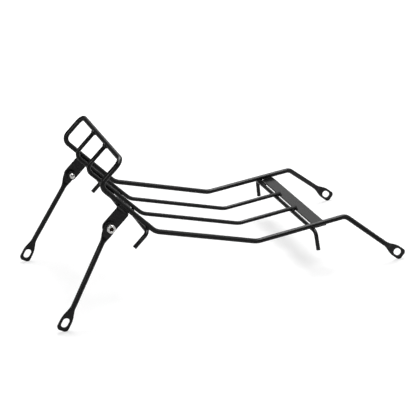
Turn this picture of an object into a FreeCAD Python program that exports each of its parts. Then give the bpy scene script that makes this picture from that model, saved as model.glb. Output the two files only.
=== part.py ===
import FreeCAD, Part
import math
import os
import Sketcher

# Luggage rack that bolts over the middle of a small motorcycle, bent from round
# steel bar. Deck frame used for the construction: origin where the deck meets the
# front slope, +X rearward, +Y to the rider's right, +Z square to the deck. The
# finished pieces stand on the two stay feet and the two rear lugs, tilted by the
# stand angle.

SIZES = [
    ("bar_diameter", 8.0, "round bar of the outer rail and of the stays"),
    ("rod_diameter", 6.5, "round bar of the middle rods and of the cross rods"),
    ("rail_spacing", 230.0, "between the centre lines of the two outer rails"),
    ("middle_spacing", 68.6, "between the centre lines of the two middle rods"),
    ("middle_setback", 3.5, "front corner of the middle rods behind the outer rails'"),
    ("deck_length", 168.0, "flat deck, from corner to corner"),
    ("slope_length", 117.9, "front slope, from the deck to the foot of the hoop"),
    ("slope_angle", 31.15, "front slope above the deck, degrees"),
    ("hoop_height", 49.2, "foot of the hoop to the centre of its top bar"),
    ("rise_length", 150.9, "rear rise, from the deck to the tail bend"),
    ("rise_angle", 21.8, "rear rise above the deck, degrees"),
    ("tail_reach", 104.0, "tail bend to the centre of the lug slot, in side view"),
    ("tail_angle", 24.1, "tail below the deck, degrees"),
    ("lug_flare", 23.2, "outer rail's centre line out to the middle plane of a lug"),
    ("hoop_bend", 13.0, "centre line radius of the hoop's four bends"),
    ("slope_bend", 24.0, "centre line radius where the slope meets the deck"),
    ("rise_bend", 30.0, "centre line radius where the deck meets the rise"),
    ("tail_bend", 14.0, "centre line radius of the tail bend"),
    ("joggle_bend", 16.0, "centre line radius of the small bends beside a paddle"),
    ("joggle_run", 1.5, "straight lead between a paddle and its joggle"),
    ("paddle_width", 18.6, "flattened bar end, across"),
    ("paddle_thickness", 3.0, "flattened bar end, between its faces"),
    ("paddle_taper", 27.0, "centre of the opening to the round bar"),
    ("paddle_corner", 6.0, "corner radius of a slotted paddle"),
    ("trim", 0.3, "metal trimmed from each side of a forged paddle"),
    ("flat_share", 0.5, "part of the taper that the flattened faces cover"),
    ("die_nose", 14.0, "radius of the run-out of the flattened faces"),
    ("lug_slot_length", 15.0, "slot of a rear lug, overall"),
    ("foot_slot_length", 16.0, "slot of a stay foot, overall"),
    ("slot_width", 11.0, "slots of the lugs and the feet, across"),
    ("slot_margin", 5.2, "metal beyond the end of a slot"),
    ("stay_pitch", 156.65, "screw to the centre of the foot slot, in side view"),
    ("stay_angle", 15.55, "stay ahead of the deck's normal, degrees"),
    ("foot_flare", 12.5, "stay's upper end out to the middle plane of its foot"),
    ("bracket_position", 65.4, "deck corner to the middle of the front bracket"),
    ("bracket_width", 22.0, "flat bar of the front bracket, across"),
    ("bracket_thickness", 3.0, "flat bar of the front bracket"),
    ("tab_overhang", 7.8, "outer rail's centre line out to the outside of a tab"),
    ("bracket_bend", 3.0, "inside radius of the front bracket's bends"),
    ("screw_drop", 36.4, "outer rail's centre line down to the stay screw"),
    ("front_rod_position", 13.3, "deck corner to the front cross rod"),
    ("rear_rod_position", 94.3, "foot of the rise to the rear cross rod"),
    ("peg_overhang", 9.5, "outer rail's centre line out to the corner of a cross rod"),
    ("peg_drop", 37.6, "outer rail's centre line down to the end of a peg"),
    ("peg_bend", 8.0, "centre line radius of the bend above a peg"),
    ("peg_splay", 5.0, "rear pegs outward of square to the rails, degrees"),
    ("plate_position", 109.1, "foot of the rise to the middle of the rear plate"),
    ("plate_width", 19.0, "rear plate, front to back"),
    ("plate_inset", 2.0, "outer rail's centre line in to the end of the rear plate"),
    ("plate_thickness", 3.0, "rear plate"),
    ("plate_corner", 2.0, "corner radius of the rear plate"),
    ("plate_lap", 1.2, "middle rods' ends over the front edge of the rear plate"),
    ("screw_diameter", 8.0, "stay screw"),
    ("screw_length", 20.0, "stay screw, under its head"),
    ("head_diameter", 13.0, "stay screw head"),
    ("head_height", 8.0, "stay screw head"),
    ("head_chamfer", 0.8, "bevel on the rim of the screw head"),
    ("socket_flats", 6.0, "hexagon socket, across flats"),
    ("socket_depth", 4.0, "hexagon socket"),
    ("nut_flats", 13.0, "hexagon nut, across flats"),
    ("nut_height", 6.5, "hexagon nut"),
    ("nut_bevel", 30.0, "bevel on the nut's corners, degrees"),
    ("hole_clearance", 0.3, "between the screw and a plain hole, all round"),
    ("thread_clearance", 0.1, "between the screw and the nut, all round"),
    ("running_gap", 0.15, "each side of a stay that turns on its screw"),
    ("weld_gap", 0.05, "root gap where a coped rod end meets the top bar"),
    ("crown_flat", 0.05, "half of the flat left at the crown of a rounded end"),
]

doc = FreeCAD.newDocument("rack")
sheet = doc.addObject("Spreadsheet::Sheet", "dims")
for row, (alias, value, note) in enumerate(SIZES, 1):
    sheet.set(f"A{row}", note)
    sheet.set(f"B{row}", str(value))
    sheet.setAlias(f"B{row}", alias)
doc.recompute()

Vector = FreeCAD.Vector
Rotation = FreeCAD.Rotation
Placement = FreeCAD.Placement
SIDES = {"left": -1, "right": 1}
LATERAL = Vector(0, 1, 0)
TOLERANCE = 1e-6


def size(alias):
    return float(sheet.get(alias))


def bind(item, **formulas):
    for name, formula in formulas.items():
        item.setExpression(name, formula)


def along(angle_alias, x_sign=1, z_sign=1):
    # Unit direction in the side view, at the given angle from the deck.
    angle = math.radians(size(angle_alias))
    return Vector(x_sign * math.cos(angle), 0, z_sign * math.sin(angle))


def at_side(point, y):
    return Vector(point.x, y, point.z)


# Side view of the rack

bar_radius = size("bar_diameter") / 2
rod_radius = size("rod_diameter") / 2

slope = along("slope_angle", x_sign=-1)
rise = along("rise_angle")
tail = along("tail_angle", z_sign=-1)
slope_normal = LATERAL.cross(slope)
rise_normal = rise.cross(LATERAL)
deck_normal = Vector(0, 0, 1)

deck_front = Vector(0, 0, 0)
deck_rear = Vector(size("deck_length"), 0, 0)
hoop_foot = slope * size("slope_length")
hoop_top = hoop_foot + slope_normal * size("hoop_height")
tail_top = deck_rear + rise * size("rise_length")
lug_centre = tail_top + tail * size("tail_reach")

bracket_centre = slope * size("bracket_position")
screw_centre = bracket_centre - slope_normal * size("screw_drop")
lean = math.radians(size("stay_angle"))
stay = Vector(-math.sin(lean), 0, -math.cos(lean))
foot_centre = screw_centre + stay * size("stay_pitch")

rail_side = size("rail_spacing") / 2
lug_side = rail_side + size("lug_flare")
tab_side = rail_side + size("tab_overhang")
stay_side = tab_side + size("running_gap") + size("paddle_thickness") / 2
foot_side = stay_side + size("foot_flare")
head_side = stay_side + size("paddle_thickness") / 2 + size("running_gap")

lug_end = size("lug_slot_length") / 2 + size("slot_margin")
foot_end = size("foot_slot_length") / 2 + size("slot_margin")


# How the rack stands: the lowest corner of a foot and of a lug share the floor

def paddle_corners(centre, direction, end):
    inset = size("paddle_corner")
    across = LATERAL.cross(direction) * (size("paddle_width") / 2 - inset)
    middle = centre + direction * (end - inset)
    return [middle + across, middle - across]


def standing(point, angle):
    return Rotation(LATERAL, math.degrees(angle)).multVec(point)


foot_corners = paddle_corners(foot_centre, stay, foot_end)
lug_corners = paddle_corners(lug_centre, tail, lug_end)
stand_angle = 0.0
for _ in range(4):
    low_foot = min(foot_corners, key=lambda point: standing(point, stand_angle).z)
    low_lug = min(lug_corners, key=lambda point: standing(point, stand_angle).z)
    stand_angle = math.atan2(low_lug.z - low_foot.z, low_lug.x - low_foot.x)

corner = size("paddle_corner")
floor_z = standing(low_foot, stand_angle).z - corner
front_x = min(standing(point, stand_angle).x for point in foot_corners) - corner
rear_x = max(standing(point, stand_angle).x for point in lug_corners) + corner
stand = Placement(Vector(-(front_x + rear_x) / 2, 0, -floor_z),
                  Rotation(LATERAL, math.degrees(stand_angle)))


def cross_frame(origin, direction):
    # X runs across the rack to the right and Y along the given direction.
    return Placement(origin, Rotation(LATERAL, direction, LATERAL.cross(direction), "XYZ"))


# Bent bars

def bent_wire(points, radii):
    # Straight runs through the corner points, joined by tangent arcs.
    edges = []
    start = points[0]
    for before, point, after, radius in zip(points, points[1:], points[2:], radii):
        back = (before - point).normalize()
        onward = (after - point).normalize()
        half = back.getAngle(onward) / 2
        setback = radius / math.tan(half)
        centre = point + (back + onward).normalize() * (radius / math.sin(half))
        middle = centre + (point - centre).normalize() * radius
        entry = point + back * setback
        leave = point + onward * setback
        edges.append(Part.LineSegment(start, entry).toShape())
        edges.append(Part.Arc(entry, middle, leave).toShape())
        start = leave
    edges.append(Part.LineSegment(start, points[-1]).toShape())
    return Part.Wire(edges)


def bent_bar(name, points, radii, diameter):
    path = doc.addObject("Part::Feature", name + "_path")
    path.Shape = bent_wire(points, radii)
    section = doc.addObject("Part::Circle", name + "_section")
    bind(section, Radius=f"dims.{diameter} / 2")
    section.Placement = Placement(points[0], Rotation(deck_normal, points[1] - points[0]))
    bar = doc.addObject("Part::Sweep", name + "_bar")
    bar.Sections = [section]
    bar.Spine = (path, [f"Edge{number + 1}" for number in range(len(path.Shape.Edges))])
    bar.Solid = True
    return bar


def bottom_flush(before, point, after):
    # Corner of a thinner rod whose underside is level with the outer rail's.
    first = LATERAL.cross(before - point).normalize()
    second = LATERAL.cross(point - after).normalize()
    shift = rod_radius - bar_radius
    return point + (first + second) * (shift / (1 + first.dot(second)))


# Sketches

def origin_plane(body, role):
    return next(item for item in body.Origin.OriginFeatures if item.Role == role)


def new_sketch(body, name, role):
    sketch = body.newObject("Sketcher::SketchObject", name)
    sketch.AttachmentSupport = (origin_plane(body, role), "")
    sketch.MapMode = "FlatFace"
    return sketch


def worth(formula):
    return float(sheet.evalExpression(formula))


def place_point(sketch, geometry, position, across, up):
    # Ties a point of the sketch to the sheet, across and up from the origin.
    for kind, formula in (("DistanceX", across), ("DistanceY", up)):
        index = sketch.addConstraint(
            Sketcher.Constraint(kind, -1, 1, geometry, position, worth(formula)))
        sketch.setExpression(f"Constraints[{index}]", formula)


def set_radius(sketch, geometry, radius):
    index = sketch.addConstraint(Sketcher.Constraint("Radius", geometry, worth(radius)))
    sketch.setExpression(f"Constraints[{index}]", radius)


def add_polygon(sketch, corners):
    points = [Vector(worth(across), worth(up), 0) for across, up in corners]
    count = len(points)
    for index, point in enumerate(points):
        sketch.addGeometry(Part.LineSegment(point, points[(index + 1) % count]))
    for index, (across, up) in enumerate(corners):
        sketch.addConstraint(
            Sketcher.Constraint("Coincident", index, 2, (index + 1) % count, 1))
        place_point(sketch, index, 1, across, up)


def add_circle(sketch, across, up, radius):
    centre = Vector(worth(across), worth(up), 0)
    circle = sketch.addGeometry(Part.Circle(centre, deck_normal, worth(radius)))
    place_point(sketch, circle, 3, across, up)
    set_radius(sketch, circle, radius)


def add_slot(sketch, length, width):
    radius = worth(width) / 2
    offset = f"({length} - {width}) / 2"
    reach = worth(offset)
    quarter = math.pi / 2
    near = sketch.addGeometry(Part.ArcOfCircle(
        Part.Circle(Vector(-reach, 0, 0), deck_normal, radius), quarter, 3 * quarter))
    far = sketch.addGeometry(Part.ArcOfCircle(
        Part.Circle(Vector(reach, 0, 0), deck_normal, radius), -quarter, quarter))
    under = sketch.addGeometry(Part.LineSegment(
        Vector(-reach, -radius, 0), Vector(reach, -radius, 0)))
    over = sketch.addGeometry(Part.LineSegment(
        Vector(reach, radius, 0), Vector(-reach, radius, 0)))
    for first, first_end, second, second_end in ((near, 2, under, 1), (under, 2, far, 1),
                                                 (far, 2, over, 1), (over, 2, near, 1)):
        sketch.addConstraint(
            Sketcher.Constraint("Tangent", first, first_end, second, second_end))
    set_radius(sketch, near, f"{width} / 2")
    place_point(sketch, near, 3, f"-{offset}", "0")
    place_point(sketch, far, 3, offset, "0")


def box_corners(left, bottom, right, top):
    return [(left, bottom), (right, bottom), (right, top), (left, top)]


def hexagon_corners(flats):
    side = f"{flats} / (2 * sqrt(3))"
    return [(f"2 * {side}", "0"), (side, f"{flats} / 2"), (f"-{side}", f"{flats} / 2"),
            (f"-2 * {side}", "0"), (f"-{side}", f"-{flats} / 2"), (side, f"-{flats} / 2")]


def new_body(name):
    return doc.addObject("PartDesign::Body", name)


def add_feature(body, kind, sketch, formulas, **settings):
    feature = body.newObject("PartDesign::" + kind, f"{sketch.Name}_{kind.lower()}")
    feature.Profile = sketch
    bind(feature, **formulas)
    for name, value in settings.items():
        setattr(feature, name, value)
    return feature


def fillet_edges(body, name, radius, chosen):
    doc.recompute()
    base = body.Tip
    numbers = [f"Edge{index + 1}" for index, edge in enumerate(base.Shape.Edges)
               if chosen(edge)]
    fillet = body.newObject("PartDesign::Fillet", name)
    fillet.Base = (base, numbers)
    bind(fillet, Radius=radius)


def runs_along(edge, axis):
    ends = [vertex.Point for vertex in edge.Vertexes]
    return len(ends) == 2 and abs(abs((ends[1] - ends[0]).normalize().dot(axis)) - 1) < TOLERANCE


# Flattened bar ends. In a paddle's own frame the opening is at the origin, +X
# points to the free end and +Y is square to its faces.

# Place in the taper, ahead of the opening, and share of the full width there.
WIDENING = [(-1.0, 0.0), (-0.84, 0.10), (-0.62, 0.42), (-0.36, 0.80), (-0.12, 0.97), (0.2, 1.0)]


def forged_end(name, end):
    # Spread sideways between dies, from the round bar to the full width.
    bar = "dims.bar_diameter / 2"
    full = "(dims.paddle_width / 2 + dims.trim)"
    stations = [(f"dims.paddle_taper * {place}", share) for place, share in WIDENING]
    stations.append((f"{end} + dims.bar_diameter", 1.0))
    sections = []
    for number, (place, share) in enumerate(stations):
        section = doc.addObject("Part::Ellipse", f"{name}_section_{number}")
        bind(section, MinorRadius=bar, MajorRadius=f"{bar} + ({full} - {bar}) * {share}")
        section.Placement = Placement(Vector(0, 0, 0), Rotation(LATERAL, 90))
        section.setExpression("Placement.Base.x", place)
        sections.append(section)
    forged = doc.addObject("Part::Loft", name + "_forged")
    forged.Sections = sections
    forged.Solid = True
    return forged


def dies(name, end):
    # The two faces press the bar flat and run out over a rounded nose.
    face = "dims.paddle_thickness / 2"
    flat_start = "-dims.paddle_taper * dims.flat_share"
    shapes = []
    for side, sign in (("upper", 1), ("lower", -1)):
        block = doc.addObject("Part::Box", f"{name}_{side}_die")
        bind(block, Length=f"{end} - ({flat_start}) + 2 * dims.bar_diameter",
             Width="dims.bar_diameter", Height="dims.paddle_width * 2")
        low = face if sign > 0 else f"-{face} - dims.bar_diameter"
        nose = doc.addObject("Part::Cylinder", f"{name}_{side}_nose")
        bind(nose, Radius="dims.die_nose", Height="dims.paddle_width * 2")
        for tool, height in ((block, low), (nose, f"{sign} * ({face} + dims.die_nose)")):
            tool.setExpression("Placement.Base.x", flat_start)
            tool.setExpression("Placement.Base.y", height)
            tool.setExpression("Placement.Base.z", "-dims.paddle_width")
        shapes += [block, nose]
    press = doc.addObject("Part::MultiFuse", name + "_press")
    press.Shapes = shapes
    return press


def blank(name, end, corner_radius, opening):
    # Trimmed outline of the paddle, with its slot or hole.
    body = new_body(name + "_blank")
    outline = new_sketch(body, name + "_outline", "XZ_Plane")
    half = "dims.paddle_width / 2"
    add_polygon(outline, box_corners("-2 * dims.paddle_taper", f"-{half}", end, half))
    add_feature(body, "Pad", outline, {"Length": "2 * dims.bar_diameter"},
                SideType="Symmetric")
    fillet_edges(body, name + "_corners", corner_radius,
                 lambda edge: runs_along(edge, LATERAL) and edge.CenterOfMass.x > 0)
    cut = new_sketch(body, name + "_opening", "XZ_Plane")
    if len(opening) == 1:
        add_circle(cut, "0", "0", opening[0])
    else:
        add_slot(cut, *opening)
    add_feature(body, "Pocket", cut, {"Length": "4 * dims.bar_diameter"},
                SideType="Symmetric")
    return body


def paddle(name, centre, direction, end, corner_radius, opening):
    pressed = doc.addObject("Part::Cut", name + "_pressed")
    pressed.Base = forged_end(name, end)
    pressed.Tool = dies(name, end)
    trimmed = doc.addObject("Part::Common", name)
    trimmed.Base = pressed
    trimmed.Tool = blank(name, end, corner_radius, opening)
    trimmed.Placement = Placement(
        centre, Rotation(direction, LATERAL, direction.cross(LATERAL), "XYZ"))
    return trimmed


def slotted_paddle(name, centre, direction, slot):
    return paddle(name, centre, direction, f"(dims.{slot} / 2 + dims.slot_margin)",
                  "dims.paddle_corner", (f"dims.{slot}", "dims.slot_width"))


def fuse(name, shapes):
    whole = doc.addObject("Part::MultiFuse", name)
    whole.Shapes = shapes
    whole.Placement = stand
    return whole


parts = {}

# Outer rail: one bar from lug to lug, over both sides and the hoop

taper = size("paddle_taper")


def joggle_corner(reach, flare):
    # From an opening to the corner where its bar turns outward to meet the flare.
    lead = taper + size("joggle_run")
    corner = lead
    for _ in range(6):
        turn = math.atan2(flare, reach - corner)
        corner = lead + size("joggle_bend") * math.tan(turn / 2)
    return corner


lug_joggle = joggle_corner(size("tail_reach"), size("lug_flare"))


def rail_half(y_sign):
    lug_y = y_sign * lug_side
    rail_y = y_sign * rail_side
    return [at_side(lug_centre - tail * taper, lug_y),
            at_side(lug_centre - tail * lug_joggle, lug_y),
            at_side(tail_top, rail_y), at_side(deck_rear, rail_y),
            at_side(deck_front, rail_y), at_side(hoop_foot, rail_y),
            at_side(hoop_top, rail_y)]


half_bends = ["joggle_bend", "tail_bend", "rise_bend", "slope_bend", "hoop_bend", "hoop_bend"]
bends = [size(alias) for alias in half_bends + half_bends[::-1]]
rail_points = rail_half(SIDES["left"]) + rail_half(SIDES["right"])[::-1]
rail_bar = bent_bar("rail", rail_points, bends, "bar_diameter")
lugs = [slotted_paddle(f"lug_{side}", at_side(lug_centre, y_sign * lug_side), tail,
                       "lug_slot_length") for side, y_sign in SIDES.items()]
parts["outer_rail"] = fuse("outer_rail", [rail_bar] + lugs)

# Middle rods: from the top bar of the hoop down to the rear plate

rod_end = deck_rear + rise * (size("plate_position") - size("plate_width") / 2
                              + size("plate_lap"))
rod_corners = [hoop_top, hoop_foot, deck_front, deck_rear, tail_top]
flush = [bottom_flush(*three) for three in zip(rod_corners, rod_corners[1:], rod_corners[2:])]
flush[0] = hoop_foot + slope_normal * (rod_radius - bar_radius)
flush[1] += Vector(size("middle_setback"), 0, 0)
flush_end = rod_end + rise_normal * (rod_radius - bar_radius)
for side, y_sign in SIDES.items():
    name = f"middle_rod_{side}"
    rod_y = y_sign * size("middle_spacing") / 2
    points = [at_side(point, rod_y) for point in [hoop_top] + flush + [flush_end]]
    radii = [size(alias) for alias in ("hoop_bend", "slope_bend", "rise_bend")]
    cope = doc.addObject("Part::Cylinder", name + "_cope")
    bind(cope, Radius="dims.bar_diameter / 2 + dims.weld_gap", Height="2 * dims.bar_diameter")
    cope.Placement = Placement(at_side(hoop_top, rod_y - size("bar_diameter")),
                               Rotation(deck_normal, LATERAL))
    rod = doc.addObject("Part::Cut", name)
    rod.Base = bent_bar(name, points, radii, "rod_diameter")
    rod.Tool = cope
    rod.Placement = stand
    parts[name] = rod

# Cross rods: under the rails, with both ends bent down as lashing pegs


def cross_rod(name, origin, normal, splay=0.0):
    depth = bar_radius + rod_radius
    peg_side = rail_side + size("peg_overhang")
    tip_side = peg_side + (size("peg_drop") - depth) * math.tan(math.radians(splay))
    under = origin - normal * depth
    tip = origin - normal * size("peg_drop")
    points = [at_side(tip, tip_side), at_side(under, peg_side),
              at_side(under, -peg_side), at_side(tip, -tip_side)]
    rod = bent_bar(name, points, [size("peg_bend")] * 2, "rod_diameter")
    rod.Placement = stand
    parts[name] = rod


cross_rod("front_cross_rod", slope * size("front_rod_position"), slope_normal)
cross_rod("rear_cross_rod", deck_rear + rise * size("rear_rod_position"), rise_normal,
          size("peg_splay"))

# Front bracket: flat bar under the slope, both ends bent down into round tabs

bracket = new_body("front_bracket")
profile = new_sketch(bracket, "bracket_profile", "XZ_Plane")
outside = "(dims.rail_spacing / 2 + dims.tab_overhang)"
inside = f"({outside} - dims.bracket_thickness)"
top = "-dims.bar_diameter / 2"
tab_end = "-dims.screw_drop - dims.bracket_width / 2"
add_polygon(profile, [
    (f"-{outside}", top), (f"-{outside}", tab_end), (f"-{inside}", tab_end),
    (f"-{inside}", f"{top} - dims.bracket_thickness"),
    (inside, f"{top} - dims.bracket_thickness"),
    (inside, tab_end), (outside, tab_end), (outside, top)])
add_feature(bracket, "Pad", profile, {"Length": "dims.bracket_width"}, SideType="Symmetric")
width_axis = Vector(0, 1, 0)
across_axis = Vector(1, 0, 0)
fillet_edges(bracket, "inner_bends", "dims.bracket_bend",
             lambda edge: runs_along(edge, width_axis)
             and abs(edge.CenterOfMass.z - worth(f"{top} - dims.bracket_thickness")) < TOLERANCE)
fillet_edges(bracket, "outer_bends", "dims.bracket_bend + dims.bracket_thickness",
             lambda edge: runs_along(edge, width_axis)
             and abs(edge.CenterOfMass.z - worth(top)) < TOLERANCE)
fillet_edges(bracket, "tab_ends", "dims.bracket_width / 2 - dims.crown_flat",
             lambda edge: runs_along(edge, across_axis)
             and abs(edge.CenterOfMass.z - worth(tab_end)) < TOLERANCE)
holes = new_sketch(bracket, "tab_holes", "YZ_Plane")
add_circle(holes, "0", "-dims.screw_drop", "dims.screw_diameter / 2 + dims.hole_clearance")
add_feature(bracket, "Pocket", holes, {"Length": f"4 * {outside}"},
            SideType="Symmetric")
bracket.Placement = stand * cross_frame(bracket_centre, slope)
parts["front_bracket"] = bracket

# Rear plate: flat bar under the two outer rails

plate = new_body("rear_plate")
outline = new_sketch(plate, "plate_outline", "XY_Plane")
plate_end = "(dims.rail_spacing / 2 - dims.plate_inset)"
add_polygon(outline, box_corners(f"-{plate_end}", "-dims.plate_width / 2",
                                 plate_end, "dims.plate_width / 2"))
add_feature(plate, "Pad", outline, {"Length": "dims.plate_thickness"}, Reversed=True)
fillet_edges(plate, "plate_corners", "dims.plate_corner",
             lambda edge: runs_along(edge, deck_normal))
plate_top = deck_rear + rise * size("plate_position") - rise_normal * bar_radius
plate.Placement = stand * cross_frame(plate_top, rise * -1)
parts["rear_plate"] = plate


# Stay screws and their nuts. Both are drawn along +Z, with the seat of the head
# at the origin, and turned so that +Z points inward through the tab.

def stay_screw(name):
    body = new_body(name)
    half = new_sketch(body, name + "_half", "XZ_Plane")
    rim = "dims.head_diameter / 2"
    shank = "dims.screw_diameter / 2"
    add_polygon(half, [
        ("0", "-dims.head_height"), (f"{rim} - dims.head_chamfer", "-dims.head_height"),
        (rim, "-dims.head_height + dims.head_chamfer"), (rim, "0"), (shank, "0"),
        (shank, "dims.screw_length - dims.head_chamfer"),
        (f"{shank} - dims.head_chamfer", "dims.screw_length"), ("0", "dims.screw_length")])
    turned = body.newObject("PartDesign::Revolution", name + "_turned")
    turned.Profile = half
    turned.ReferenceAxis = (half, ["V_Axis"])
    hexagon = new_sketch(body, name + "_hexagon", "XY_Plane")
    hexagon.setExpression("AttachmentOffset.Base.z", "-dims.head_height")
    add_polygon(hexagon, hexagon_corners("dims.socket_flats"))
    add_feature(body, "Pocket", hexagon, {"Length": "dims.socket_depth"}, Reversed=True)
    return body


def stay_nut(name):
    body = new_body(name)
    hexagon = new_sketch(body, name + "_hexagon", "XY_Plane")
    add_polygon(hexagon, hexagon_corners("dims.nut_flats"))
    add_feature(body, "Pad", hexagon, {"Length": "dims.nut_height"})
    bevel = new_sketch(body, name + "_bevel", "XZ_Plane")
    rim = "dims.nut_flats / 2"
    low = f"dims.nut_height - {rim} * tan(dims.nut_bevel)"
    high = f"dims.nut_height + {rim}"
    add_polygon(bevel, [(rim, "dims.nut_height"), ("dims.nut_flats", low),
                        ("dims.nut_flats", high), (rim, high)])
    groove = body.newObject("PartDesign::Groove", name + "_groove")
    groove.Profile = bevel
    groove.ReferenceAxis = (bevel, ["V_Axis"])
    bore = new_sketch(body, name + "_bore", "XY_Plane")
    add_circle(bore, "0", "0", "dims.screw_diameter / 2 + dims.thread_clearance")
    add_feature(body, "Pocket", bore, {"Length": "2 * dims.nut_height"}, Reversed=True)
    return body


nut_side = tab_side - size("bracket_thickness")
for side, y_sign in SIDES.items():
    inward = Rotation(deck_normal, LATERAL * -y_sign)
    screw = stay_screw(f"stay_screw_{side}")
    screw.Placement = stand * Placement(at_side(screw_centre, y_sign * head_side), inward)
    parts[f"stay_screw_{side}"] = screw
    nut = stay_nut(f"stay_nut_{side}")
    nut.Placement = stand * Placement(at_side(screw_centre, y_sign * nut_side), inward)
    parts[f"stay_nut_{side}"] = nut

# Stays: bar flattened at both ends, a round hole above and a slot at the foot

stay_joggle = joggle_corner(size("stay_pitch") / 2, size("foot_flare") / 2)
for side, y_sign in SIDES.items():
    name = f"stay_{side}"
    top_y = y_sign * stay_side
    foot_y = y_sign * foot_side
    points = [at_side(screw_centre + stay * taper, top_y),
              at_side(screw_centre + stay * stay_joggle, top_y),
              at_side(foot_centre - stay * stay_joggle, foot_y),
              at_side(foot_centre - stay * taper, foot_y)]
    bar = bent_bar(name, points, [size("joggle_bend")] * 2, "bar_diameter")
    eye = paddle(name + "_eye", at_side(screw_centre, top_y), stay * -1,
                 "dims.paddle_width / 2", "dims.paddle_width / 2 - dims.crown_flat",
                 ("dims.screw_diameter / 2 + dims.hole_clearance",))
    foot = slotted_paddle(name + "_foot", at_side(foot_centre, foot_y), stay,
                          "foot_slot_length")
    parts[name] = fuse(name, [bar, eye, foot])

# Check and write every piece

doc.recompute()
for item in doc.Objects:
    if "Invalid" in item.State or "Error" in item.State:
        raise RuntimeError(f"{item.Name} did not recompute: {item.State}")

os.makedirs("parts", exist_ok=True)
for name, item in parts.items():
    item.Label = name
    shape = item.Shape
    if shape.isNull() or not shape.isValid() or len(shape.Solids) != 1:
        raise RuntimeError(f"{name} is not one valid solid")
for name, item in parts.items():
    item.Shape.exportStep(f"parts/{name}.step")
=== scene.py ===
import math
import random

import bmesh
import bpy
from mathutils import Matrix, Vector


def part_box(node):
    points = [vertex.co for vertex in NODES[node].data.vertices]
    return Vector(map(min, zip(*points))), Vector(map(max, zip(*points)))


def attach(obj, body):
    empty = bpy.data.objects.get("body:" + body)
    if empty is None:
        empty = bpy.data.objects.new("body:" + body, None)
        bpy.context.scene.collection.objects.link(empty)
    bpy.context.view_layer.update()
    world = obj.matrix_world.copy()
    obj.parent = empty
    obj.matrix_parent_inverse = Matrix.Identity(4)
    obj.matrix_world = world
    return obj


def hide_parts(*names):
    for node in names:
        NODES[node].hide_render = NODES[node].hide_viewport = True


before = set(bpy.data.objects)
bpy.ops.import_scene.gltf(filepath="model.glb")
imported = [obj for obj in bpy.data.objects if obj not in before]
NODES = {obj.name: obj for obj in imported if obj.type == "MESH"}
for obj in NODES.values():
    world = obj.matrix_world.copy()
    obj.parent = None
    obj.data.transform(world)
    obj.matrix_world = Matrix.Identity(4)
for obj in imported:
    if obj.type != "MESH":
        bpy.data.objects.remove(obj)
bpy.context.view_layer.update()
SEED = 7

MM = 0.001

# Bars and their places, in the deck frame of the rack: origin where the deck meets
# the front slope, +X rearward, +Z square to the deck.

BAR = 4.0 * MM
ROD = 3.25 * MM
STAND_ANGLE = math.radians(17.387)
STAND_OFFSET = Vector((-116.73, 0.0, 120.40)) * MM
STAND = Matrix.Translation(STAND_OFFSET) @ Matrix.Rotation(STAND_ANGLE, 4, "Y")

RAIL_Y = 115.0 * MM
MIDDLE_Y = 34.3 * MM
DECK_LENGTH = 168.0 * MM
SLOPE_ANGLE = math.radians(31.15)
RISE_ANGLE = math.radians(21.8)
SLOPE_LENGTH = 117.9 * MM
HOOP_HEIGHT = 49.2 * MM
BRACKET_PLACE = 65.4 * MM
BRACKET_WIDTH = 22.0 * MM
FRONT_ROD_PLACE = 13.3 * MM
REAR_ROD_PLACE = 94.3 * MM
PLATE_PLACE = 109.1 * MM
PLATE_WIDTH = 19.0 * MM
PLATE_LAP = 1.2 * MM

ACROSS = Vector((0, 1, 0))


def line_frame(along, angle):
    # X runs along the bar, Y across the rack, Z away from the side that is welded.
    x = Vector((math.cos(angle), 0, math.sin(angle))).normalized()
    z = x.cross(ACROSS)
    turn = Matrix((x, ACROSS, z)).transposed().to_4x4()
    return STAND @ Matrix.Translation((along, 0, 0)) @ turn


slope_line = line_frame(0, -SLOPE_ANGLE)
rise_line = line_frame(DECK_LENGTH, RISE_ANGLE)


# Materials

def cleared(tree):
    tree.nodes.clear()
    return tree.nodes, tree.links


def new_material(name):
    material = bpy.data.materials.new(name)
    material.use_nodes = True
    return material, *cleared(material.node_tree)


def node(nodes, kind, **settings):
    # Each setting is the value of an input if the node has one of that name.
    made = nodes.new("ShaderNode" + kind)
    for name, value in settings.items():
        if name in made.inputs:
            made.inputs[name].default_value = value
        else:
            setattr(made, name, value)
    return made


def ramp(nodes, links, source, span, gives):
    made = nodes.new("ShaderNodeMapRange")
    made.inputs["From Min"].default_value, made.inputs["From Max"].default_value = span
    made.inputs["To Min"].default_value, made.inputs["To Max"].default_value = gives
    links.new(source, made.inputs["Value"])
    return made.outputs["Result"]


def combine(nodes, links, operation, first, second):
    made = node(nodes, "Math", operation=operation)
    links.new(first, made.inputs[0])
    links.new(second, made.inputs[1])
    return made.outputs[0]


def noise(nodes, links, place, scale, detail, rough):
    made = node(nodes, "TexNoise", Scale=scale, Detail=detail, Roughness=rough)
    links.new(place.outputs["Object"], made.inputs["Vector"])
    return made.outputs["Fac"]


def two_tone(nodes, links, source, span, dark, light):
    made = node(nodes, "ValToRGB")
    for element, position, tone in zip(made.color_ramp.elements, span, (dark, light)):
        element.position = position
        element.color = (*tone, 1)
    links.new(source, made.inputs["Fac"])
    return made.outputs["Color"]


def overlay(nodes, links, share, base, tone):
    made = node(nodes, "MixRGB", Color2=(*tone, 1))
    links.new(share, made.inputs["Fac"])
    links.new(base, made.inputs["Color1"])
    return made.outputs["Color"]


def bump(nodes, links, height, strength, distance, below=None):
    made = node(nodes, "Bump", Strength=strength, Distance=distance)
    links.new(height, made.inputs["Height"])
    if below is not None:
        links.new(below, made.inputs["Normal"])
    return made.outputs["Normal"]


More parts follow.
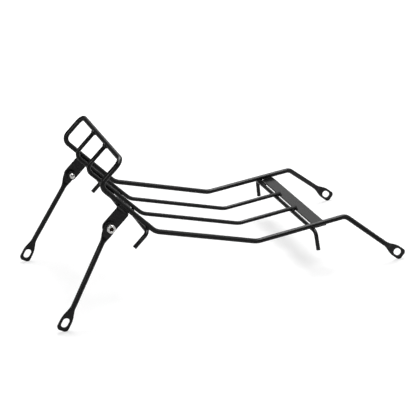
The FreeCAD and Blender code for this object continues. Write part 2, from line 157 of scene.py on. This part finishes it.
def finish_surface(nodes, links, shader, colour, rough, normal):
    links.new(colour, shader.inputs["Base Color"])
    links.new(rough, shader.inputs["Roughness"])
    links.new(normal, shader.inputs["Normal"])
    output = node(nodes, "OutputMaterial")
    links.new(shader.outputs["BSDF"], output.inputs["Surface"])


def powder_coat():
    # Near black, mottled and faintly dusty, a little paler where the coat wears on edges.
    material, nodes, links = new_material("satin_black_powder_coat")
    shader = node(nodes, "BsdfPrincipled", Metallic=0.0, IOR=1.5)
    shader.inputs["Specular IOR Level"].default_value = 0.30
    place = node(nodes, "TexCoord")
    cloud = noise(nodes, links, place, scale=28.0, detail=3.0, rough=0.5)
    mottle = noise(nodes, links, place, scale=330.0, detail=3.0, rough=0.55)
    peel = noise(nodes, links, place, scale=760.0, detail=2.0, rough=0.45)
    grain = noise(nodes, links, place, scale=3200.0, detail=2.0, rough=0.6)

    black = two_tone(nodes, links, cloud, span=(0.30, 0.72),
                     dark=(0.0030, 0.0030, 0.0032), light=(0.0060, 0.0060, 0.0062))
    dust = ramp(nodes, links, mottle, span=(0.46, 0.74), gives=(0.0, 0.8))
    dusty = overlay(nodes, links, dust, black, tone=(0.017, 0.017, 0.0165))
    geometry = node(nodes, "NewGeometry")
    edge = ramp(nodes, links, geometry.outputs["Pointiness"], span=(0.54, 0.62), gives=(0.0, 0.35))
    colour = overlay(nodes, links, edge, dusty, tone=(0.030, 0.030, 0.031))

    broad = ramp(nodes, links, cloud, span=(0.3, 0.7), gives=(0.20, 0.28))
    fine = ramp(nodes, links, grain, span=(0.3, 0.7), gives=(-0.03, 0.03))
    rough = combine(nodes, links, "ADD", broad, fine)

    wave = bump(nodes, links, mottle, strength=0.6, distance=0.06 * MM)
    low = bump(nodes, links, peel, strength=0.55, distance=0.06 * MM, below=wave)
    high = bump(nodes, links, grain, strength=0.35, distance=0.015 * MM, below=low)
    finish_surface(nodes, links, shader, colour, rough, high)
    return material


def bright_zinc():
    material, nodes, links = new_material("bright_zinc_plate")
    shader = node(nodes, "BsdfPrincipled", Metallic=1.0)
    place = node(nodes, "TexCoord")
    cloud = noise(nodes, links, place, scale=260.0, detail=4.0, rough=0.6)
    speck = noise(nodes, links, place, scale=2600.0, detail=3.0, rough=0.6)
    colour = two_tone(nodes, links, cloud, span=(0.3, 0.75),
                      dark=(0.80, 0.80, 0.79), light=(0.93, 0.915, 0.88))
    rough = ramp(nodes, links, speck, span=(0.25, 0.75), gives=(0.20, 0.36))
    normal = bump(nodes, links, speck, strength=0.3, distance=0.02 * MM)
    finish_surface(nodes, links, shader, colour, rough, normal)
    return material


def socket_shade_material():
    # Painted shade: a mottled dark brown metal lining for the hex socket, standing in for the shade
    # inside the recess.
    material, nodes, links = new_material("painted_socket_shade")
    shader = node(nodes, "BsdfPrincipled", Metallic=1.0)
    place = node(nodes, "TexCoord")
    shade_mottle = noise(nodes, links, place, scale=900.0, detail=4.0, rough=0.6)
    colour = two_tone(nodes, links, shade_mottle, span=(0.35, 0.75),
                      dark=(0.030, 0.024, 0.020), light=(0.120, 0.085, 0.060))
    rough = ramp(nodes, links, shade_mottle, span=(0.3, 0.7), gives=(0.45, 0.65))
    normal = bump(nodes, links, shade_mottle, strength=0.4, distance=0.04 * MM)
    finish_surface(nodes, links, shader, colour, rough, normal)
    return material


COAT = powder_coat()
SOCKET_SHADE = socket_shade_material()
ZINC = bright_zinc()


# Meshes

def circle(count):
    return [2 * math.pi * number / count for number in range(count)]


def add_rings(bm, rings, closed, capped=True):
    # Skins a list of rings of points with quads, and caps or closes the ends.
    made = [[bm.verts.new(point) for point in ring] for ring in rings]
    count = len(made[0])
    pairs = list(zip(made, made[1:]))
    if closed:
        pairs.append((made[-1], made[0]))
    for first, second in pairs:
        for index in range(count):
            after = (index + 1) % count
            bm.faces.new((first[index], first[after], second[after], second[index]))
    if capped and not closed:
        bm.faces.new(made[0][::-1])
        bm.faces.new(made[-1])


def finished_mesh(bm, name):
    bmesh.ops.recalc_face_normals(bm, faces=bm.faces)
    mesh = bpy.data.meshes.new(name)
    bm.to_mesh(mesh)
    bm.free()
    return mesh


def new_object(name, data):
    made = bpy.data.objects.new(name, data)
    bpy.context.scene.collection.objects.link(made)
    return made


def new_piece(name, mesh, material, body):
    piece = new_object(name, mesh)
    mesh.materials.append(material)
    for face in mesh.polygons:
        face.use_smooth = True
    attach(piece, body)
    return piece


# Weld beads: a rippled round bead laid along the root of each joint

BEAD_RADIUS = 1.35 * MM
BEAD_SIDES = 12
RIPPLE_PITCH = 1.3 * MM
RIPPLE_STEP = 0.22 * MM
# Ripple, swell and taper are in shares of the bead's radius.
RIPPLE_HEIGHT = 0.09
SWELL_SLOW = 0.05
SWELL_QUICK = 0.04
TAPER_LENGTH = 1.6
TAPER_LEAST = 0.02
STAND_OFF = 0.45 * MM
CROSSING_POINTS = 48
chance = random.Random(SEED)


def resample(points, closed, step):
    # Spaces points evenly along a line or loop, and gives its length too.
    loop = points + [points[0]] if closed else points
    lengths = [(b - a).length for a, b in zip(loop, loop[1:])]
    total = sum(lengths)
    count = max(8, int(round(total / step)))
    spots = []
    for number in range(count if closed else count + 1):
        target = total * number / count
        index = 0
        while index < len(lengths) - 1 and target > lengths[index]:
            target -= lengths[index]
            index += 1
        share = min(1.0, target / max(lengths[index], 1e-9))
        spots.append(loop[index].lerp(loop[index + 1], share))
    return spots, total


def bead_size(total, closed, radius):
    # Gives the bead's radius at a share of its length: ripples, a swell, tapered open ends.
    phase = chance.uniform(0, 2 * math.pi)
    waves = max(2, round(total / RIPPLE_PITCH))
    swell = [chance.uniform(0, 2 * math.pi) for _ in range(2)]

    def size(share):
        ripple = 1 + RIPPLE_HEIGHT * abs(math.sin(math.pi * waves * share + phase))
        ripple += SWELL_SLOW * math.sin(2 * math.pi * share + swell[0])
        ripple += SWELL_QUICK * math.sin(6 * math.pi * share + swell[1])
        if closed:
            return radius * ripple
        from_end = min(share, 1 - share) * total
        fullness = min(1.0, from_end / (TAPER_LENGTH * radius))
        return radius * ripple * math.sqrt(max(TAPER_LEAST, fullness))

    return size


def add_bead(bm, place, points, closed=False, radius=BEAD_RADIUS):
    spots, total = resample(points, closed, RIPPLE_STEP)
    count = len(spots)
    size_at = bead_size(total, closed, radius)
    rings = []
    for index, spot in enumerate(spots):
        before = spots[index - 1] if index or closed else spot
        after = spots[(index + 1) % count] if closed or index + 1 < count else spot
        ahead = (after - before).normalized()
        side = ahead.orthogonal() if index == 0 else (side - ahead * side.dot(ahead))
        side = side.normalized()
        up = ahead.cross(side)
        size = size_at(index / count if closed else index / (count - 1))
        rings.append([place @ (spot + side * (size * math.cos(turn)) + up * (size * math.sin(turn)))
                      for turn in circle(BEAD_SIDES)])
    add_rings(bm, rings, closed)


def crossing_loop(top_radius, low_radius):
    # Round the point where an upper bar along X rests on a lower one along Y.
    low_z = -(top_radius + low_radius)
    over = top_radius + STAND_OFF
    under = low_radius + STAND_OFF
    reach = math.sqrt(over ** 2 - (low_z + under) ** 2)
    points = []
    for turn in circle(CROSSING_POINTS):
        y = reach * math.sin(turn)
        z = -math.sqrt(over ** 2 - y ** 2)
        x = math.sqrt(max(0.0, under ** 2 - (z - low_z) ** 2))
        points.append(Vector((math.copysign(x, math.cos(turn)), y, z)))
    return points


def seat_line(radius, side, length):
    # Along one side of a bar that lies on a flat face.
    y = side * math.sqrt((radius + STAND_OFF) ** 2 - (radius - STAND_OFF) ** 2)
    z = -radius + STAND_OFF
    half = length / 2
    return [Vector((-half, y, z)), Vector((half, y, z))]


def at(line, along, y, lift=0.0):
    return line @ Matrix.Translation((along, y, lift))


BRACKET_BEAD = BRACKET_WIDTH - 3 * MM
PLATE_BEAD = PLATE_WIDTH - 2.5 * MM


def weld_crossings(front, rear):
    for y, radius in ((RAIL_Y, BAR), (-RAIL_Y, BAR), (MIDDLE_Y, ROD), (-MIDDLE_Y, ROD)):
        sunk = radius - BAR
        loop = crossing_loop(radius, ROD)
        add_bead(front, at(slope_line, -FRONT_ROD_PLACE, y, sunk), loop, closed=True)
        add_bead(rear, at(rise_line, REAR_ROD_PLACE, y, sunk), loop, closed=True)
        for side in (-1, 1):
            seat = seat_line(radius, side, BRACKET_BEAD)
            add_bead(front, at(slope_line, -BRACKET_PLACE, y, sunk), seat)


def weld_plate(rear):
    for side in (-1, 1):
        inner = seat_line(BAR, -side, PLATE_BEAD)
        add_bead(rear, at(rise_line, PLATE_PLACE, side * RAIL_Y), inner)


FILL_FROM_Y = 120 * MM
FILL_TO_Y = 92 * MM
FILL_BACK = 0.3 * MM
FILL_DROP = 1.4 * MM
FILL_RADIUS = 2.0 * MM


def fill_plate_gap(rear):
    # The far end of the gap between the rear cross rod and the plate is filled with weld.
    gap_x = (REAR_ROD_PLACE + ROD + PLATE_PLACE - PLATE_WIDTH / 2) / 2
    fill = [Vector((gap_x - FILL_BACK, y, -BAR - FILL_DROP)) for y in (FILL_FROM_Y, FILL_TO_Y)]
    add_bead(rear, rise_line, fill, radius=FILL_RADIUS)


END_BEAD_RADIUS = 1.5 * MM
END_BEAD_SPREAD = 0.8
END_BEAD_REACH = 0.9 * MM
END_BEAD_BACK = 0.3 * MM
END_BEAD_LIFT = 0.7 * MM
END_BEAD_STEPS = 24


def weld_rod_ends(rear):
    # Each middle rod's end is welded down on the front edge of the plate.
    rod_end = PLATE_PLACE - PLATE_WIDTH / 2 + PLATE_LAP
    height = -ROD + END_BEAD_LIFT
    for y in (MIDDLE_Y, -MIDDLE_Y):
        nose = []
        for number in range(END_BEAD_STEPS + 1):
            turn = math.pi * (number / END_BEAD_STEPS - 0.5)
            x = END_BEAD_REACH * math.cos(turn) - END_BEAD_BACK
            nose.append(Vector((x, ROD * END_BEAD_SPREAD * math.sin(turn), height)))
        start = Vector((-PLATE_LAP, nose[0].y, height))
        finish = Vector((-PLATE_LAP, nose[-1].y, height))
        place = at(rise_line, rod_end, y, ROD - BAR)
        add_bead(rear, place, [start] + nose + [finish], radius=END_BEAD_RADIUS)


# How far the middle of each bead lies outside the rod and outside the top bar, and its radius.
HOOP_BEADS = ((0.35 * MM, 0.55 * MM, 1.45 * MM), (0.1 * MM, 2.0 * MM, 0.95 * MM))
HOOP_BEAD_POINTS = 40


def weld_hoop(front):
    # Each middle rod butts against the top bar of the hoop, with a flared bead round it.
    slope_up = Vector((-math.cos(SLOPE_ANGLE), 0, math.sin(SLOPE_ANGLE)))
    hoop_up = Vector((math.sin(SLOPE_ANGLE), 0, math.cos(SLOPE_ANGLE)))
    hoop_top = slope_up * SLOPE_LENGTH + hoop_up * HOOP_HEIGHT
    for y in (MIDDLE_Y, -MIDDLE_Y):
        centre = hoop_top + ACROSS * y
        for reach, clear, radius in HOOP_BEADS:
            ring = []
            for turn in circle(HOOP_BEAD_POINTS):
                sideways = (ROD + reach) * math.sin(turn)
                drop = math.sqrt((BAR + clear) ** 2 - sideways ** 2)
                spread = ACROSS * ((ROD + reach) * math.cos(turn))
                ring.append(centre + spread + slope_up * sideways - hoop_up * drop)
            add_bead(front, STAND, ring, closed=True, radius=radius)


front_welds = bmesh.new()
rear_welds = bmesh.new()
weld_crossings(front_welds, rear_welds)
weld_plate(rear_welds)
fill_plate_gap(rear_welds)
weld_rod_ends(rear_welds)
weld_hoop(front_welds)
for bm, name in ((front_welds, "weld_beads_front"), (rear_welds, "weld_beads_rear")):
    new_piece(name, finished_mesh(bm, name), COAT, "rack")


# Finishes of the carried-over solids, with the sharp edges softened as a coat does

EDGE_ROUND = 0.35 * MM
SHARP = math.radians(38)
FACET_GAP = 0.002 * MM


def soften_edges(item):
    weld = item.modifiers.new("joined_facets", "WELD")
    weld.merge_threshold = FACET_GAP
    bevel = item.modifiers.new("coated_edges", "BEVEL")
    bevel.width = EDGE_ROUND
    bevel.segments = 2
    bevel.limit_method = "ANGLE"
    bevel.angle_limit = SHARP
    bevel.harden_normals = True


for name, item in NODES.items():
    zinc = name.startswith("stay_screw")
    item.data.materials.clear()
    item.data.materials.append(ZINC if zinc else COAT)
    if not zinc:
        soften_edges(item)


# Socket head screws with knurled heads and cut threads, in place of the plain solids

HEAD_RADIUS = 6.5 * MM
HEAD_HEIGHT = 8.0 * MM
HEAD_CHAMFER = 0.8 * MM
SHANK = 4.0 * MM
PLAIN_SHANK = 6.0 * MM
SCREW_LENGTH = 20.0 * MM
SCREW_SPIN = 0.35
SOCKET_FLATS = 6.0 * MM
SOCKET_DEPTH = 4.0 * MM
SOCKET_LEAD = 0.35 * MM
SOCKET_CONE = 0.9 * MM
SOCKET_BANDS = 2
CORNER_TO_FLAT = 1.155
THREAD_PITCH = 1.25 * MM
THREAD_DEPTH = 0.68 * MM
THREAD_FLANK = 1.15
THREAD_TIP = 0.9 * MM
THREAD_SIDES = 40
ROWS_PER_TURN = 10
KNURLS = 48
KNURL_DEPTH = 0.16 * MM
HEAD_SIDES = 4 * KNURLS


def plain(turn, radius):
    return radius


def knurled(turn, radius):
    return radius - KNURL_DEPTH * (0.5 - 0.5 * math.cos(KNURLS * turn))


def hexagonal(turn, radius):
    # Distance to the hexagon whose flats lie at the given radius.
    sector = (turn + math.pi / 6) % (math.pi / 3) - math.pi / 6
    return radius / math.cos(sector)


def ring_at(height, radius, shape):
    points = []
    for turn in circle(HEAD_SIDES):
        out = shape(turn, radius)
        points.append(Vector((out * math.cos(turn), out * math.sin(turn), height)))
    return points


def head_rings():
    # From the bottom of the socket, out over the head and down to the plain shank's end.
    flat = SOCKET_FLATS / 2
    corner = flat * CORNER_TO_FLAT
    top = -HEAD_HEIGHT
    rim = HEAD_RADIUS - HEAD_CHAMFER
    profile = (
        (top + SOCKET_DEPTH + SOCKET_CONE, 0.1 * MM, plain),
        (top + SOCKET_DEPTH, flat * 0.98, hexagonal),
        (top + SOCKET_LEAD, flat, hexagonal),
        (top + 0.02 * MM, corner + 0.1 * MM, plain),
        (top, corner + 0.25 * MM, plain),
        (top, rim - 0.15 * MM, plain),
        (top + 0.06 * MM, rim + 0.05 * MM, plain),
        (top + HEAD_CHAMFER * 0.7, HEAD_RADIUS - 0.22 * MM, plain),
        (top + HEAD_CHAMFER * 1.25, HEAD_RADIUS, knurled),
        (-0.9 * MM, HEAD_RADIUS, knurled),
        (-0.35 * MM, HEAD_RADIUS - 0.2 * MM, plain),
        (0, HEAD_RADIUS - 0.55 * MM, plain),
        (0, SHANK, plain),
        (PLAIN_SHANK, SHANK, plain),
    )
    return [ring_at(*row) for row in profile]


def thread_rings():
    # The groove winds round as the rings climb, and the end is chamfered.
    threaded = SCREW_LENGTH - PLAIN_SHANK
    rows = int(threaded / THREAD_PITCH * ROWS_PER_TURN)
    rings = []
    for row in range(rows + 1):
        height = PLAIN_SHANK + threaded * row / rows
        tip = max(0.0, height - (SCREW_LENGTH - THREAD_TIP))
        ring = []
        for number, turn in enumerate(circle(THREAD_SIDES)):
            phase = (height / THREAD_PITCH - number / THREAD_SIDES) % 1.0
            cut = THREAD_DEPTH * min(1.0, THREAD_FLANK * abs(2 * phase - 1))
            out = SHANK - max(cut, tip)
            ring.append(Vector((out * math.cos(turn), out * math.sin(turn), height)))
        rings.append(ring)
    return rings


def screw_mesh(name):
    bm = bmesh.new()
    add_rings(bm, head_rings(), closed=False, capped=False)
    # The first bands of faces line the socket, and have the dark material that paints the socket's
    # shade.
    for face in list(bm.faces)[:SOCKET_BANDS * HEAD_SIDES]:
        face.material_index = 1
    add_rings(bm, thread_rings(), closed=False, capped=True)
    return finished_mesh(bm, name)


def seat_of(name, side):
    # The screw's seat is at the inner side of its head, on the axis of the solid.
    low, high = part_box(name)
    middle = (low + high) / 2
    outer = high.y if side > 0 else low.y
    return Vector((middle.x, outer - side * HEAD_HEIGHT, middle.z))


for label, side in (("left", -1), ("right", 1)):
    solid = "stay_screw_" + label
    mesh = screw_mesh("socket_screw_" + label)
    inward = Matrix.Rotation(side * math.pi / 2, 4, "X")
    spin = Matrix.Rotation(SCREW_SPIN * side, 4, "Z")
    mesh.transform(Matrix.Translation(seat_of(solid, side)) @ inward @ spin)
    screw = new_piece("socket_screw_" + label, mesh, ZINC, "rack")
    # The second slot holds the dark lining with the socket's painted shade.
    mesh.materials.append(SOCKET_SHADE)
    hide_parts(solid)


# Studio: white floor, white surroundings, soft lamps

DIM = 0.10
WHITE = (1, 1, 1, 1)
BACKDROP_DIRECTION = (0.9, 0.2, 0.4)
BACKDROP_SPAN = (0.36, 0.58)
HORIZON_SPAN = (0.0, 0.4)
HORIZON_LEVEL = 0.25


def background():
    # White to the camera and, above and beyond the rack, in reflections. Dim elsewhere.
    world = bpy.data.worlds.new("studio")
    bpy.context.scene.world = world
    world.use_nodes = True
    nodes, links = cleared(world.node_tree)
    path = node(nodes, "LightPath")
    place = node(nodes, "TexCoord")
    direction = place.outputs["Generated"]

    beyond = node(nodes, "VectorMath", operation="DOT_PRODUCT")
    beyond.inputs[1].default_value = BACKDROP_DIRECTION
    links.new(direction, beyond.inputs[0])
    behind = ramp(nodes, links, beyond.outputs["Value"], span=BACKDROP_SPAN, gives=(DIM, 1.0))
    height = node(nodes, "SeparateXYZ")
    links.new(direction, height.inputs[0])
    above = ramp(nodes, links, height.outputs["Z"], span=HORIZON_SPAN, gives=(HORIZON_LEVEL, 1.0))
    backdrop = combine(nodes, links, "MULTIPLY", behind, above)

    glossy = combine(nodes, links, "MULTIPLY", backdrop, path.outputs["Is Glossy Ray"])
    camera_ray = path.outputs["Is Camera Ray"]
    shown = combine(nodes, links, "MAXIMUM", camera_ray, path.outputs["Is Transmission Ray"])
    level = node(nodes, "Math", operation="MAXIMUM")
    level.inputs[1].default_value = DIM
    links.new(combine(nodes, links, "MAXIMUM", glossy, shown), level.inputs[0])

    light = node(nodes, "Background", Color=WHITE)
    links.new(level.outputs[0], light.inputs["Strength"])
    output = node(nodes, "OutputWorld")
    links.new(light.outputs[0], output.inputs["Surface"])


FLOOR_TONE = (0.5, 0.5, 0.5, 1)
FLOOR_FADE = (0.35, 1.3)
FLOOR_GLOW = (0.55, 1.0)
FLOOR_SIDES = 64
FLOOR_RADII = (0.6, 1.5, 4.0, 9.0)
FLOOR_DROP = 0.2 * MM


def floor_material():
    # Matt white near the rack, and plain white to the camera further out.
    material, nodes, links = new_material("studio_floor")
    place = node(nodes, "TexCoord")
    reach = node(nodes, "VectorMath", operation="LENGTH")
    links.new(place.outputs["Object"], reach.inputs[0])
    fade = ramp(nodes, links, reach.outputs["Value"], span=FLOOR_FADE, gives=FLOOR_GLOW)
    path = node(nodes, "LightPath")
    glow = node(nodes, "Emission", Color=WHITE)
    seen = combine(nodes, links, "MULTIPLY", fade, path.outputs["Is Camera Ray"])
    links.new(seen, glow.inputs["Strength"])
    matt = node(nodes, "BsdfDiffuse", Color=FLOOR_TONE)
    both = node(nodes, "AddShader")
    links.new(matt.outputs[0], both.inputs[0])
    links.new(glow.outputs[0], both.inputs[1])
    output = node(nodes, "OutputMaterial")
    links.new(both.outputs[0], output.inputs["Surface"])
    return material


def studio_floor():
    bm = bmesh.new()
    rings = [[Vector((radius * math.cos(turn), radius * math.sin(turn), 0))
              for turn in circle(FLOOR_SIDES)] for radius in FLOOR_RADII]
    add_rings(bm, rings, closed=False, capped=False)
    bm.faces.new(list(bm.verts)[:FLOOR_SIDES])
    mesh = finished_mesh(bm, "studio_floor")
    mesh.materials.append(floor_material())
    floor = new_object("studio_floor", mesh)
    floor.location.z = -FLOOR_DROP


# Name, place, width and height in metres, and watts.
LAMPS = (
    ("overhead_softbox", (0.25, 0.45, 1.6), 1.3, 0.9, 30),
    ("key_softbox", (0.35, -0.60, 1.45), 0.45, 0.45, 6),
    ("side_softbox", (-1.70, 0.05, 0.45), 0.4, 0.8, 3),
    ("front_softbox", (-1.1, -1.3, 0.9), 0.6, 0.6, 5),
)
LAMP_TARGET = Vector((0, 0, 0.1))


def area_lamp(name, place, width, height, power):
    data = bpy.data.lights.new(name, "AREA")
    data.shape = "RECTANGLE"
    data.size = width
    data.size_y = height
    data.energy = power
    lamp = new_object(name, data)
    lamp.location = place
    lamp.rotation_euler = (LAMP_TARGET - Vector(place)).to_track_quat("-Z", "Y").to_euler()


background()
studio_floor()
for row in LAMPS:
    area_lamp(*row)


# Camera at the photograph's viewing angle

CAMERA_PLACE = (-0.565763, -1.781150, 0.869097)
CAMERA_TURN = (67.3586, 3.8381, -19.3668)
SENSOR_WIDTH = 36.0
FOCAL_LENGTH = 108.822
NEAREST = 0.05
FARTHEST = 60

camera_data = bpy.data.cameras.new("camera")
camera_data.sensor_width = SENSOR_WIDTH
camera_data.lens = FOCAL_LENGTH
camera_data.clip_start = NEAREST
camera_data.clip_end = FARTHEST
camera = new_object("camera", camera_data)
camera.location = CAMERA_PLACE
camera.rotation_euler = [math.radians(angle) for angle in CAMERA_TURN]
bpy.context.scene.camera = camera

bpy.context.scene.view_settings.view_transform = "Standard"
